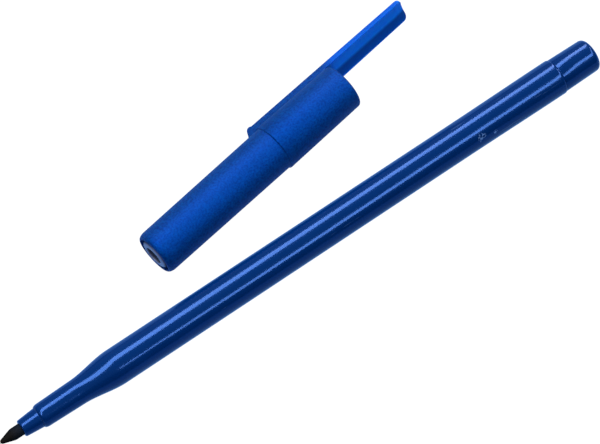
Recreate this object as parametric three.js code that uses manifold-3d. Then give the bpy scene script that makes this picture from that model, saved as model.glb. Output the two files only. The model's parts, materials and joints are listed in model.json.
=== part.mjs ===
// A felt-tip pen with its cap taken off and laid beside it.
// Millimetres, +Z up. The pen lies along X with its nib towards -X, on the plane z = 0,
// and the cap lies on the +Y side of it, turned a little away from it.
import * as THREE from 'three';
import { mergeVertices } from 'three/addons/utils/BufferGeometryUtils.js';
import Module from 'manifold-3d';

const wasm = await Module();
wasm.setup();

const degrees = Math.PI / 180;

// Driving dimensions of the pen. Lengths run along its axis, and radii across it.
const NIB_RADIUS = 1.2;
const NIB_POINT_RADIUS = 0.48; // the blunt, rounded end of the point
const NIB_POINT_ANGLE = 17 * degrees; // between the cone and the axis
const NIB_EXPOSED = 4.68; // how far the nib stands out of its guard
const NIB_IN_RESERVOIR = 8; // how deep its back end is pushed into the reservoir
const NIB_FIT = 0.04; // clearance round the nib in its guard and in the reservoir
const NIB_PASSAGE_FIT = 0.18; // clearance round the nib in the nose behind the guard

const GUARD_EXPOSED = 3.9;
const GUARD_FRONT_WALL = 0.5;
const GUARD_REAR_WALL = 0.8;
const GUARD_LIP = 0.3; // rounding of its front edge
const GUARD_SPIGOT_WALL = 0.37;
const GUARD_SPIGOT_LENGTH = 6.6;
const PRESS_FIT = 0.03; // clearance left between two pressed pieces

const NOSE_RADIUS = 2.44; // just behind the rounded front edge of the nose
const NOSE_EDGE_LENGTH = 0.95;
const NOSE_EDGE_DEPTH = 0.42;
const NOSE_LENGTH = 8.42; // from the guard's crease to where the flare starts
const NOSE_TAPER = 0.021; // growth of the radius for each millimetre
const FLARE_LENGTH = 9;

const BARREL_LENGTH = 121.17; // from the guard's crease to the plug's seam
const BARREL_RADIUS = 3.61;
const BARREL_WALL = 0.75;
const BARREL_EDGE_LENGTH = 0.45; // rounding of the rear edge, beside the seam
const BARREL_EDGE_DEPTH = 0.2;
const SWELL = 0.1; // how much the plug spreads the rear of the barrel
const SWELL_LENGTH = 22;
const SWELL_FROM_SEAM = 1.9; // where the swell is full, measured from the seam

const PLUG_LENGTH = 8.58; // the part that shows behind the seam
const PLUG_STEP = 0.17; // how much thinner it starts than the barrel
const PLUG_TAPER = 0.11; // and how much it narrows towards its end
const PLUG_END_RADIUS = 1.1; // rounding of its rear edge
const PLUG_FRONT_CHAMFER = 0.12;
const PLUG_SPIGOT_LENGTH = 8;
const PLUG_SPIGOT_WALL = 0.8;
const PLUG_END_WALL = 1.4;

const WRAP_CLEARANCE = 0.2; // between the reservoir's sleeve and the bore of the barrel
const WRAP_THICKNESS = 0.14;
const WRAP_FIT = 0.04;
const END_GAP = 0.3; // room left at the ends of the loose inner pieces

// Driving dimensions of the cap, from the plane of its closed end towards its mouth.
const CAP_LENGTH = 50.43;
const CAP_POST_FIT = 0.14; // clearance round the barrel's swell when the cap is put on the rear
const CAP_END_WALL = 0.77;
const CAP_END_EDGE_LENGTH = 1.5; // rounding of the closed end's outer edge
const CAP_END_EDGE_DEPTH = 0.7;
const CAP_SHOULDER_AT = 31.6; // where the thicker collar starts
const CAP_SHOULDER_WALL = 0.91;
const CAP_SHOULDER_CHAMFER = 0.12;
const COLLAR_FRONT_WALL = 1.17;
const COLLAR_MOUTH_WALL = 1.03;
const MOUTH_ROUNDING = 0.5;
const MOUTH_LEAD_IN = 0.2;

const LINER_SEAL_GRIP = 0.03; // how much wider its bore is than the start of the flare
const LINER_WALL = 0.58;
const LINER_RECESS = 0.06; // how far its face lies inside the closed end
const LINER_FACE_ROUNDING = 0.2;
const LINER_HOLE_RADIUS = 1.81;
const LINER_HOLE_DEPTH = 2.2;
const LINER_END_WALL = 1.1; // between the blind hole and the nib's chamber
const LINER_NIB_GAP = 1.4; // from that wall to the tip of the nib when the cap is on
const LINER_SEAL_LENGTH = 18; // from the tip of the nib to the mouth of the liner
const LINER_LEAD_IN = 0.25;
const LINER_RIBS = 4;
const LINER_RIB_WIDTH = 0.8;
const LINER_RIB_START = 3.5;
const LINER_RIB_END_GAP = 0.8;
const LINER_RIB_FIT = 0.04;

// The clip, in the cap's frame. It is one with the collar up to the mouth. Its outside is
// flat, and past the mouth its underside is hollowed round the axis.
const CLIP_REACH = 20.8; // how far it stands past the mouth
const CLIP_OFFSET = 0.05; // how much wider the hollow is than the collar
const CLIP_ROOT_THICKNESS = 0.8; // along its middle, where it is thinnest
const CLIP_TIP_THICKNESS = 0.57;
const CLIP_ROOT_WIDTH = 5.64;
const CLIP_TIP_WIDTH = 5.08;
const CLIP_EDGE = 0.2; // rounding along its outer edges
const CLIP_LIP = 0.1; // depth of the flat along each edge of the hollow
const CLIP_CORNER = 1.1; // rounding of the two corners of its tip
const CLIP_LEAD_IN = 0.28; // how far the underside opens towards the tip
const CLIP_LEAD_IN_LENGTH = 2.4;

const ROOT_RIDGE_AT = 31;
const ROOT_RIDGE_HEIGHT = 0.25; // above the clip's outer face
const ROOT_RIDGE_LENGTH = 0.4;
const ROOT_RAMP_LENGTH = 1.65;
const ROOT_RAMP = [[0, 0], [0.29, 0.37], [0.53, 0.71], [0.76, 0.91]]; // shares of length, height
const ROOT_SUNK = 0.35; // depth of the clip's base inside the cap's bore

// How the cap lies beside the pen.
const CAP_FROM_TIP = 44.38; // along X, from the tip of the nib to the closed end's centre
const CAP_FROM_PEN = 14.115; // along Y, from the pen's axis to the closed end's centre
const CAP_TURN = 8.65 * degrees;
const CAP_PITCH = 1.1 * degrees; // its narrower closed end lies a little lower than its mouth
const CAP_ROLL = 116.5 * degrees; // the clip hangs over on the side away from the pen

// Fineness of the round forms.
const LARGE_SIDES = 64;
const SMALL_SIDES = 40;
const FLARE_STEPS = 9;
const SWELL_STEPS = 5;
const ARC_STEPS = 5;
const CLIP_CORNER_STEPS = 5;

// Places along the pen, measured from the tip of the nib.
const guardAt = NIB_EXPOSED;
const noseAt = guardAt + GUARD_EXPOSED;
const flareAt = noseAt + NOSE_LENGTH;
const flareEnd = flareAt + FLARE_LENGTH;
const seamAt = noseAt + BARREL_LENGTH;
const penLength = seamAt + PLUG_LENGTH;
const reservoirFront = flareEnd + END_GAP;
const reservoirRear = seamAt - PLUG_SPIGOT_LENGTH - END_GAP;
const nibEnd = reservoirFront + NIB_IN_RESERVOIR;

// Radii that follow from the ones above.
const nibBore = NIB_RADIUS + NIB_FIT;
const nibPassage = NIB_RADIUS + NIB_PASSAGE_FIT;
const guardSpigotRadius = nibBore + GUARD_SPIGOT_WALL;
const guardSeatRadius = guardSpigotRadius + PRESS_FIT;
const noseRadius = (along) => NOSE_RADIUS + (along - noseAt - NOSE_EDGE_LENGTH) * NOSE_TAPER;
const boreRadius = BARREL_RADIUS - BARREL_WALL;
const rearRadius = BARREL_RADIUS + SWELL;
const plugFrontRadius = rearRadius - PLUG_STEP;
const plugRearRadius = plugFrontRadius - PLUG_TAPER;
const wrapRadius = boreRadius - WRAP_CLEARANCE;
const reservoirRadius = wrapRadius - WRAP_THICKNESS - WRAP_FIT;

const capBore = rearRadius + CAP_POST_FIT;
const capEndRadius = capBore + CAP_END_WALL;
const shoulderRadius = capBore + CAP_SHOULDER_WALL;
const collarFrontRadius = capBore + COLLAR_FRONT_WALL;
const collarMouthRadius = capBore + COLLAR_MOUTH_WALL;
const sealRadius = noseRadius(flareAt) + LINER_SEAL_GRIP;
const linerRadius = sealRadius + LINER_WALL;
const chamberAt = LINER_RECESS + LINER_HOLE_DEPTH + LINER_END_WALL;
const linerEnd = chamberAt + LINER_NIB_GAP + LINER_SEAL_LENGTH;
const clipHollowRadius = collarFrontRadius + CLIP_OFFSET;
const clipTip = CAP_LENGTH + CLIP_REACH;

const smoothStep = (t) => t * t * (3 - 2 * t);
const mix = (a, b, t) => a + (b - a) * t;

// Points of a quarter of an ellipse from angle `from` to `to`, in degrees, with 0 along the axis.
function arc(along, across, lengthRadius, acrossRadius, from, to, steps = ARC_STEPS) {
  return Array.from({ length: steps + 1 }, (_, i) => {
    const angle = mix(from, to, i / steps) * degrees;
    return [along + lengthRadius * Math.cos(angle), across + acrossRadius * Math.sin(angle)];
  });
}

// Turns a profile of [along, radius] points round the X axis. It starts and ends on the axis,
// or is closed on itself here.
function revolve(profile, sides = LARGE_SIDES) {
  let area = 0;
  profile.forEach(([along, radius], i) => {
    const [nextAlong, nextRadius] = profile[(i + 1) % profile.length];
    area += radius * nextAlong - nextRadius * along;
  });
  const ordered = area > 0 ? profile : [...profile].reverse();
  const points = ordered.map(([along, radius]) => new THREE.Vector2(radius, along));
  if (points[0].x > 0) points.push(points[0].clone());
  return new THREE.LatheGeometry(points, sides).rotateZ(-Math.PI / 2);
}

// Joins rings of [across, height] points, each at its own place along X, into a closed body.
function loft(rings) {
  const count = rings[0].points.length;
  const positions = rings.flatMap(({ at, points }) => points.flatMap(([y, z]) => [at, y, z]));
  const index = [];
  for (let ring = 0; ring + 1 < rings.length; ring += 1) {
    for (let i = 0; i < count; i += 1) {
      const a = ring * count + i;
      const b = ring * count + ((i + 1) % count);
      index.push(a, b, a + count, b, b + count, a + count);
    }
  }
  const last = (rings.length - 1) * count;
  for (let i = 1; i + 1 < count; i += 1) {
    index.push(0, i + 1, i, last, last + i, last + i + 1);
  }
  const geometry = new THREE.BufferGeometry();
  geometry.setAttribute('position', new THREE.Float32BufferAttribute(positions, 3));
  geometry.setIndex(index);
  return geometry;
}

// A closed mesh as a solid for joining and cutting, without its collapsed triangles.
function solid(geometry) {
  const bare = geometry.clone();
  bare.deleteAttribute('normal');
  bare.deleteAttribute('uv');
  const merged = mergeVertices(bare, 1e-5);
  const triVerts = [];
  for (let i = 0; i < merged.index.count; i += 3) {
    const [a, b, c] = [0, 1, 2].map((k) => merged.index.getX(i + k));
    if (a !== b && b !== c && c !== a) triVerts.push(a, b, c);
  }
  return new wasm.Manifold(new wasm.Mesh({
    numProp: 3,
    vertProperties: new Float32Array(merged.attributes.position.array),
    triVerts: new Uint32Array(triVerts),
  }));
}

function geometryOf(manifold) {
  const { vertProperties, triVerts } = manifold.getMesh();
  const geometry = new THREE.BufferGeometry();
  geometry.setAttribute('position', new THREE.BufferAttribute(vertProperties, 3));
  geometry.setIndex(new THREE.BufferAttribute(triVerts, 1));
  geometry.computeVertexNormals();
  return geometry;
}

function piece(name, geometry, material) {
  const mesh = new THREE.Mesh(geometry, material);
  mesh.name = name;
  return mesh;
}

// The fibre point: a blunt cone on a rod, which runs back into the reservoir.
function nibGeometry() {
  const coneStart = NIB_POINT_RADIUS * (1 - Math.sin(NIB_POINT_ANGLE));
  const coneStartRadius = NIB_POINT_RADIUS * Math.cos(NIB_POINT_ANGLE);
  const coneEnd = coneStart + (NIB_RADIUS - coneStartRadius) / Math.tan(NIB_POINT_ANGLE);
  const bluntEnd = arc(NIB_POINT_RADIUS, 0, NIB_POINT_RADIUS, NIB_POINT_RADIUS,
    180, 90 + NIB_POINT_ANGLE / degrees, 4);
  bluntEnd[0][1] = 0;
  return revolve([
    ...bluntEnd,
    [coneEnd, NIB_RADIUS],
    [nibEnd, NIB_RADIUS],
    [nibEnd, 0],
  ], SMALL_SIDES);
}

// The ring that holds the nib, with the spigot that is pressed into the nose.
function guardGeometry() {
  const frontRadius = nibBore + GUARD_FRONT_WALL;
  const spigotEnd = noseAt + GUARD_SPIGOT_LENGTH;
  return revolve([
    [guardAt, nibBore],
    ...arc(guardAt + GUARD_LIP, frontRadius - GUARD_LIP, GUARD_LIP, GUARD_LIP, 180, 90, 4),
    [noseAt, nibBore + GUARD_REAR_WALL],
    [noseAt, guardSpigotRadius],
    [spigotEnd, guardSpigotRadius],
    [spigotEnd, nibBore],
  ], SMALL_SIDES);
}

// The outside of the barrel from the nose's rounded front edge back to the seam.
function barrelOutline() {
  const flareRadius = noseRadius(flareAt);
  const flare = Array.from({ length: FLARE_STEPS + 1 }, (_, i) => {
    const t = i / FLARE_STEPS;
    return [flareAt + t * FLARE_LENGTH, mix(flareRadius, BARREL_RADIUS, smoothStep(t))];
  });
  const swellEnd = seamAt - SWELL_FROM_SEAM;
  const swell = Array.from({ length: SWELL_STEPS + 1 }, (_, i) => {
    const t = i / SWELL_STEPS;
    return [swellEnd - SWELL_LENGTH * (1 - t), BARREL_RADIUS + SWELL * smoothStep(t)];
  });
  return [
    ...arc(noseAt + NOSE_EDGE_LENGTH, NOSE_RADIUS - NOSE_EDGE_DEPTH,
      NOSE_EDGE_LENGTH, NOSE_EDGE_DEPTH, 180, 90, 4),
    ...flare,
    ...swell,
    ...arc(seamAt - BARREL_EDGE_LENGTH, rearRadius - BARREL_EDGE_DEPTH,
      BARREL_EDGE_LENGTH, BARREL_EDGE_DEPTH, 90, 0, 4),
  ];
}

// The barrel with its bore: a seat for the guard's spigot, a passage for the nib,
// a cone in front of the reservoir, and the long bore that the plug closes.
function barrelGeometry() {
  const seatEnd = noseAt + GUARD_SPIGOT_LENGTH + END_GAP;
  return revolve([
    [noseAt, guardSeatRadius],
    ...barrelOutline(),
    [seamAt, boreRadius],
    [flareEnd, boreRadius],
    [flareAt + FLARE_LENGTH / 3, nibPassage],
    [seatEnd, nibPassage],
    [seatEnd, guardSeatRadius],
  ]);
}

// The stopper: a rounded end that shows, and a hollow spigot pressed into the bore.
function plugGeometry() {
  const spigotRadius = boreRadius - PRESS_FIT;
  const hollowRadius = spigotRadius - PLUG_SPIGOT_WALL;
  return revolve([
    [seamAt - PLUG_SPIGOT_LENGTH, hollowRadius],
    [seamAt - PLUG_SPIGOT_LENGTH, spigotRadius],
    [seamAt, spigotRadius],
    [seamAt, plugFrontRadius - PLUG_FRONT_CHAMFER],
    [seamAt + PLUG_FRONT_CHAMFER, plugFrontRadius],
    ...arc(penLength - PLUG_END_RADIUS, plugRearRadius - PLUG_END_RADIUS,
      PLUG_END_RADIUS, PLUG_END_RADIUS, 90, 0, 6),
    [penLength, 0],
    [penLength - PLUG_END_WALL, 0],
    [penLength - PLUG_END_WALL, hollowRadius],
  ]);
}

// The fibre rod that holds the ink, with a blind hole for the nib.
function reservoirGeometry() {
  return revolve([
    [nibEnd + END_GAP, 0],
    [nibEnd + END_GAP, nibBore],
    [reservoirFront, nibBore],
    [reservoirFront, reservoirRadius],
    [reservoirRear, reservoirRadius],
    [reservoirRear, 0],
  ], SMALL_SIDES);
}

// The film sleeve round the reservoir.
function wrapGeometry() {
  return revolve([
    [reservoirFront, wrapRadius - WRAP_THICKNESS],
    [reservoirFront, wrapRadius],
    [reservoirRear, wrapRadius],
    [reservoirRear, wrapRadius - WRAP_THICKNESS],
  ], SMALL_SIDES);
}

// A section across the clip: a bar with upright sides and rounded outer edges.
function barSection(halfWidth, bottom, top) {
  const half = [
    [halfWidth, bottom],
    ...arc(halfWidth - CLIP_EDGE, top - CLIP_EDGE, CLIP_EDGE, CLIP_EDGE, 0, 90, 2),
  ];
  return [...half, ...half.map(([y, z]) => [-y, z]).reverse()];
}

// The clip in one piece: a steep ramp up from the body, a small ridge, and a long tapered
// bar, which is hollowed from the mouth to its tip and has rounded corners there.
function clipSolid() {
  const ridgeEnd = ROOT_RIDGE_AT + 2 * ROOT_RIDGE_LENGTH;
  const freeFrom = CAP_LENGTH - MOUTH_ROUNDING;
  const base = capBore - ROOT_SUNK;
  const share = (at) => (at - ridgeEnd) / (clipTip - ridgeEnd);
  const halfWidth = (at) => mix(CLIP_ROOT_WIDTH, CLIP_TIP_WIDTH, share(at)) / 2;
  const top = (at) => clipHollowRadius + mix(CLIP_ROOT_THICKNESS, CLIP_TIP_THICKNESS, share(at));
  const lip = (at) => Math.sqrt(clipHollowRadius ** 2 - halfWidth(at) ** 2) + CLIP_LIP;
  const ring = (at, bottom, height = top(at), inset = 0) => ({
    at,
    points: barSection(halfWidth(at) - inset, bottom, height),
  });
  const ridgeTop = top(ROOT_RIDGE_AT) + ROOT_RIDGE_HEIGHT;
  const rampAt = ROOT_RIDGE_AT - ROOT_RAMP_LENGTH;
  const cornerAt = clipTip - CLIP_CORNER;
  const rings = [
    ...ROOT_RAMP.map(([length, height]) => ring(
      rampAt + length * ROOT_RAMP_LENGTH,
      base,
      mix(capBore, ridgeTop, height),
    )),
    ring(ROOT_RIDGE_AT, base, ridgeTop),
    ring(ROOT_RIDGE_AT + ROOT_RIDGE_LENGTH, base, ridgeTop),
    ring(ridgeEnd, base),
    ring(freeFrom, base),
    ring(freeFrom + END_GAP, lip(freeFrom)),
  ];
  for (let i = 0; i <= CLIP_CORNER_STEPS; i += 1) {
    const angle = (i / CLIP_CORNER_STEPS) * Math.PI / 2;
    const at = cornerAt + CLIP_CORNER * Math.sin(angle);
    const inset = CLIP_CORNER * (1 - Math.cos(angle));
    rings.push(ring(at, lip(at), top(at), inset));
  }
  const leadAt = clipTip - CLIP_LEAD_IN_LENGTH;
  const hollow = revolve([
    [freeFrom, 0],
    [freeFrom, clipHollowRadius],
    [leadAt, clipHollowRadius],
    [leadAt + 2 * CLIP_LEAD_IN_LENGTH, clipHollowRadius + 2 * CLIP_LEAD_IN],
    [leadAt + 2 * CLIP_LEAD_IN_LENGTH, 0],
  ], LARGE_SIDES * 1.5);
  return solid(loft(rings)).subtract(solid(hollow));
}

// The cap's moulding: tube, collar and clip in one, bored right through.
function capShellGeometry() {
  const outside = revolve([
    [0, 0],
    ...arc(CAP_END_EDGE_LENGTH, capEndRadius - CAP_END_EDGE_DEPTH,
      CAP_END_EDGE_LENGTH, CAP_END_EDGE_DEPTH, 180, 90),
    [CAP_SHOULDER_AT, shoulderRadius],
    [CAP_SHOULDER_AT + CAP_SHOULDER_CHAMFER, collarFrontRadius],
    ...arc(CAP_LENGTH - MOUTH_ROUNDING, collarMouthRadius - MOUTH_ROUNDING,
      MOUTH_ROUNDING, MOUTH_ROUNDING, 90, 0, 4),
    [CAP_LENGTH, 0],
  ]);
  const bore = revolve([
    [-1, 0],
    [-1, capBore],
    [CAP_LENGTH - MOUTH_LEAD_IN, capBore],
    [CAP_LENGTH + 1, capBore + 1 + MOUTH_LEAD_IN],
    [CAP_LENGTH + 1, 0],
  ]);
  return geometryOf(solid(outside).add(clipSolid()).subtract(solid(bore)));
}

// The inner cap: a tube that closes on the nose, shut by a wall near the closed end,
// with a blind hole in its face and ribs that hold it in the shell and leave air passages.
function capLinerGeometry() {
  const faceEdge = LINER_RECESS + LINER_FACE_ROUNDING;
  const tube = revolve([
    [chamberAt - LINER_END_WALL, 0],
    [chamberAt - LINER_END_WALL, LINER_HOLE_RADIUS],
    ...arc(faceEdge, LINER_HOLE_RADIUS + LINER_FACE_ROUNDING,
      LINER_FACE_ROUNDING, LINER_FACE_ROUNDING, 270, 180, 3),
    ...arc(faceEdge, linerRadius - LINER_FACE_ROUNDING,
      LINER_FACE_ROUNDING, LINER_FACE_ROUNDING, 180, 90, 3),
    [linerEnd, linerRadius],
    [linerEnd, sealRadius + LINER_LEAD_IN],
    [linerEnd - LINER_LEAD_IN, sealRadius],
    [chamberAt, sealRadius],
    [chamberAt, 0],
  ], SMALL_SIDES + 8);
  const ribEnd = linerEnd - LINER_RIB_END_GAP;
  const ribInside = (sealRadius + linerRadius) / 2;
  const ribOutside = capBore - LINER_RIB_FIT;
  let liner = solid(tube);
  for (let i = 0; i < LINER_RIBS; i += 1) {
    const rib = new THREE.BoxGeometry(ribEnd - LINER_RIB_START, LINER_RIB_WIDTH,
      ribOutside - ribInside);
    rib.translate((ribEnd + LINER_RIB_START) / 2, 0, (ribOutside + ribInside) / 2);
    rib.rotateX((i + 0.5) * 2 * Math.PI / LINER_RIBS);
    liner = liner.add(solid(rib));
  }
  return geometryOf(liner);
}

const plastic = (color, roughness) => new THREE.MeshStandardMaterial({
  color, roughness, metalness: 0,
});
const barrelPlastic = plastic('#0b3a93', 0.18);
const capPlastic = plastic('#0b50c4', 0.45);
const linerPlastic = plastic('#7f93c4', 0.4);
const inkedFibre = plastic('#17120f', 0.85);
const soakedFibre = plastic('#1a1c26', 0.95);
const clearFilm = plastic('#c9d3e2', 0.25);

const pen = new THREE.Group();
pen.add(
  piece('barrel', barrelGeometry(), barrelPlastic),
  piece('point_guard', guardGeometry(), barrelPlastic),
  piece('nib', nibGeometry(), inkedFibre),
  piece('ink_reservoir', reservoirGeometry(), soakedFibre),
  piece('reservoir_wrap', wrapGeometry(), clearFilm),
  piece('end_plug', plugGeometry(), barrelPlastic),
);
pen.position.set(-penLength / 2, 0, rearRadius);

const cap = new THREE.Group();
cap.add(
  piece('cap_shell', capShellGeometry(), capPlastic),
  piece('cap_liner', capLinerGeometry(), linerPlastic),
);
cap.rotation.set(-CAP_ROLL, -CAP_PITCH, CAP_TURN, 'ZYX');
cap.position.set(CAP_FROM_TIP - penLength / 2, CAP_FROM_PEN, 0);
const capBox = new THREE.Box3().setFromObject(cap, true);
cap.position.z = -capBox.min.z;

// The whole part stands on z = 0 with the middle of its footprint at the origin.
const feltTipPen = new THREE.Group();
feltTipPen.add(pen, cap);
const footprint = new THREE.Box3().setFromObject(feltTipPen, true);
feltTipPen.position.y = -(footprint.min.y + footprint.max.y) / 2;
feltTipPen.updateMatrixWorld(true);

export default feltTipPen;
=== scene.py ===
# %% [markdown]
# A felt-tip pen and its cap
#
# The real object is a cheap moulded pen: a glossy blue barrel that narrows to a slim nose,
# a short ring that holds the fibre point, and a stopper pushed into the rear. Its satin cap
# has been pulled off and lies beside it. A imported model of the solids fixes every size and
# place. This file keeps to them and adds finer shapes, finishes, light and a camera.

# %% Load the solids and keep their box
import json
import math

import bpy
from mathutils import Matrix, Vector


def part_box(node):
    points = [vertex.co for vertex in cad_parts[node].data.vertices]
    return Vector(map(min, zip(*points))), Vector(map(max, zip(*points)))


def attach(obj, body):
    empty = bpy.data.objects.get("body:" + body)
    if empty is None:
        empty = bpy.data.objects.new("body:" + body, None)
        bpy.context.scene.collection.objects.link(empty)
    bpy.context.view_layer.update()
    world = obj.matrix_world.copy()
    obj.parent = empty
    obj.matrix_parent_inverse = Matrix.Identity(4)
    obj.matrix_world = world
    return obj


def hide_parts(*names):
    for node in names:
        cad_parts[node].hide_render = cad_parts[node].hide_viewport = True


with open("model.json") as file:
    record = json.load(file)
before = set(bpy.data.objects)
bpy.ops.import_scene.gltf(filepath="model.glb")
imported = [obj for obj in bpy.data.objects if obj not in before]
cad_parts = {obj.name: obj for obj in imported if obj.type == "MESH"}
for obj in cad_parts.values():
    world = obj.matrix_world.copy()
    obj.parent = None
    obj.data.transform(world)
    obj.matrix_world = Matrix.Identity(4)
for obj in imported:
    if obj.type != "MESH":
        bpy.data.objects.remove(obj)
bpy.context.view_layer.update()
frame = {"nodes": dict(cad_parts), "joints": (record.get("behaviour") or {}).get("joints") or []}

# %% [markdown]
# Two frames to model in
#
# Every piece is round, so each is easiest to draw lying along X with its axis on the
# origin, in millimetres from its own end. A matrix then takes it to its real place. The
# pen's matrix only moves, because the pen lies along X already. The cap's matrix also
# turns it: it points a little away from the pen, its mouth is a little higher than its
# closed end, and it has rolled over until its clip's ridge touches the table. Its direction
# is read from the joint that it slides on, and its closed end is found in the solid itself.

# %% Place the pen and the cap
MM = 0.001

barrel_low, barrel_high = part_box("barrel")
pen_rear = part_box("end_plug")[1].x
pen_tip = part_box("nib")[0].x
pen_axis = (barrel_low + barrel_high) / 2
pen_place = Matrix.Translation((pen_tip, pen_axis.y, pen_axis.z))
pen_length = (pen_rear - pen_tip) / MM

CAP_ROLL = math.radians(-116.5)
cap_direction = Vector(frame["joints"][0]["axis"]).normalized()
cap_points = [v.co.copy() for v in frame["nodes"]["cap_shell"].data.vertices]
cap_start = min(p.dot(cap_direction) for p in cap_points)
rim = [p for p in cap_points if p.dot(cap_direction) < cap_start + 0.01 * MM]
rim_box = [(min(p[i] for p in rim), max(p[i] for p in rim)) for i in range(3)]
cap_end = Vector([(low + high) / 2 for low, high in rim_box])
cap_turn = math.atan2(cap_direction.y, cap_direction.x)
cap_pitch = math.asin(cap_direction.z)
cap_place = (
    Matrix.Translation(cap_end)
    @ Matrix.Rotation(cap_turn, 4, "Z")
    @ Matrix.Rotation(-cap_pitch, 4, "Y")
    @ Matrix.Rotation(CAP_ROLL, 4, "X")
)
print(f"pen {pen_length:.2f} mm long, cap starts at {[round(c / MM, 2) for c in cap_end]} mm")

# %% [markdown]
# Set up the camera
#
# The photograph was taken from above with a long lens, near enough for some perspective.
# Solving it from the pen's and the cap's outlines gives a direction, a distance of 0.62 m
# and a lens of 192 mm. The camera comes first, so that everything after it can be looked
# at as it is made.

# %% Camera at the photograph's angle
CAMERA_AZIMUTH = math.radians(-35.405)
CAMERA_ELEVATION = math.radians(67.596)
CAMERA_DISTANCE = 616.3 * MM
CAMERA_LENS = 192
camera_target = pen_place @ Vector((72.04 * MM, 5.12 * MM, -3.55 * MM))

camera_back = Vector((
    math.sin(CAMERA_AZIMUTH) * math.cos(CAMERA_ELEVATION),
    -math.cos(CAMERA_AZIMUTH) * math.cos(CAMERA_ELEVATION),
    math.sin(CAMERA_ELEVATION),
))
camera_right = Vector((math.cos(CAMERA_AZIMUTH), math.sin(CAMERA_AZIMUTH), 0))
camera_up = camera_back.cross(camera_right)
camera_turn = Matrix((camera_right, camera_up, camera_back)).transposed().to_euler()
bpy.ops.object.camera_add(
    location=camera_target + CAMERA_DISTANCE * camera_back, rotation=camera_turn
)
camera = bpy.context.object
camera.data.sensor_fit = "HORIZONTAL"
camera.data.sensor_width = 36
camera.data.lens = CAMERA_LENS
camera.data.clip_start = 0.01
bpy.context.scene.camera = camera

# %% [markdown]
# Turning round pieces on a lathe of rings
#
# A moulded pen is made of bodies of revolution. One way to draw them is to spin a profile;
# another is to start from one circle and extrude it along the axis, scaling each new ring
# to its radius. The rings are used here, because their places can be worked out with the
# same formulas as the solids. Where the last ring meets the first, as in a tube with a
# bore, the two are merged, and where a piece is solid its two open ends are filled.

# %% A helper that turns a round piece
def select_only(piece=None):
    """Deselects everything, then selects and activates the piece."""
    bpy.ops.object.select_all(action="DESELECT")
    if piece:
        piece.select_set(True)
        bpy.context.view_layer.objects.active = piece


def turned(name, stations, sides=128):
    """A round piece through (along, radius) stations in millimetres. An end at radius 0
    is closed at its ring before it."""
    solid_start = stations[0][1] == 0
    solid_end = stations[-1][1] == 0
    rings = stations[int(solid_start):len(stations) - int(solid_end)]
    along, radius = rings[0]
    select_only()
    bpy.ops.mesh.primitive_circle_add(
        vertices=sides, radius=radius * MM, location=(along * MM, 0, 0),
        rotation=(0, math.pi / 2, 0),
    )
    piece = bpy.context.object
    piece.name = name
    bpy.ops.object.transform_apply(location=True, rotation=True, scale=True)
    bpy.ops.object.mode_set(mode="EDIT")
    bpy.ops.mesh.select_all(action="SELECT")
    for (a0, r0), (a1, r1) in zip(rings, rings[1:]):
        step = ((a1 - a0) * MM, 0, 0)
        bpy.ops.mesh.extrude_region_move(TRANSFORM_OT_translate={"value": step})
        bpy.ops.transform.resize(
            value=(1, r1 / r0, r1 / r0), center_override=(a1 * MM, 0, 0)
        )
    bpy.ops.mesh.select_all(action="SELECT")
    bpy.ops.mesh.remove_doubles(threshold=0.0005 * MM)
    bpy.ops.mesh.select_all(action="DESELECT")
    bpy.ops.mesh.select_non_manifold()
    if solid_start or solid_end:
        bpy.ops.mesh.fill_holes(sides=0)
    bpy.ops.mesh.select_all(action="SELECT")
    bpy.ops.mesh.normals_make_consistent(inside=False)
    bpy.ops.object.mode_set(mode="OBJECT")
    return piece


def rounding(along, radius, long_radius, cross_radius, start, end, steps=6):
    """Stations on a quarter of an ellipse about (along, radius), between two angles in
    degrees that are counted from the axis."""
    angles = [math.radians(start + (end - start) * i / steps) for i in range(steps + 1)]
    return [
        (along + long_radius * math.cos(a), radius + cross_radius * math.sin(a))
        for a in angles
    ]


def smooth_step(t):
    return t * t * (3 - 2 * t)


def mix(a, b, t):
    return a + (b - a) * t


def settle(piece, place, body, node, smooth_angle=35):
    """Takes a finished piece to its place, smooths it and ties it to the frame."""
    select_only(piece)
    piece.matrix_world = place
    bpy.ops.object.transform_apply(location=True, rotation=True, scale=True)
    bpy.ops.object.shade_smooth_by_angle(angle=math.radians(smooth_angle))
    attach(piece, body)
    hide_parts(node)
    size = [round(d / MM, 2) for d in piece.dimensions]
    print(f"{piece.name}: {size} mm, {len(piece.data.polygons)} faces")


# %% [markdown]
# The barrel
#
# One glossy moulding: a slim, barely tapered nose, an S-shaped flare, and a long tube that
# swells a little at the rear, where the stopper spreads it. Its two ends are what catches
# the light, so both edges are rounded with several rings. The tube is drawn with its bore,
# as a closed wall.

# %% Turn the barrel
NOSE_AT = 8.58
NOSE_RADIUS = 2.44
NOSE_EDGE = (0.95, 0.42)
NOSE_TAPER = 0.021
NOSE_SEAT = 1.64
NOSE_SEAT_DEPTH = 6.9
NOSE_PASSAGE = 1.38
FLARE_AT = 17.0
FLARE_LENGTH = 9.0
BARREL_RADIUS = 3.61
BARREL_BORE = 2.86
SEAM_AT = 129.75
SWELL = 0.1
SWELL_LENGTH = 22.0
SWELL_FROM_SEAM = 1.9
REAR_EDGE = (0.45, 0.2)
FLARE_RINGS = 26
SWELL_RINGS = 8
STRAIGHT_RINGS = 6

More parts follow.
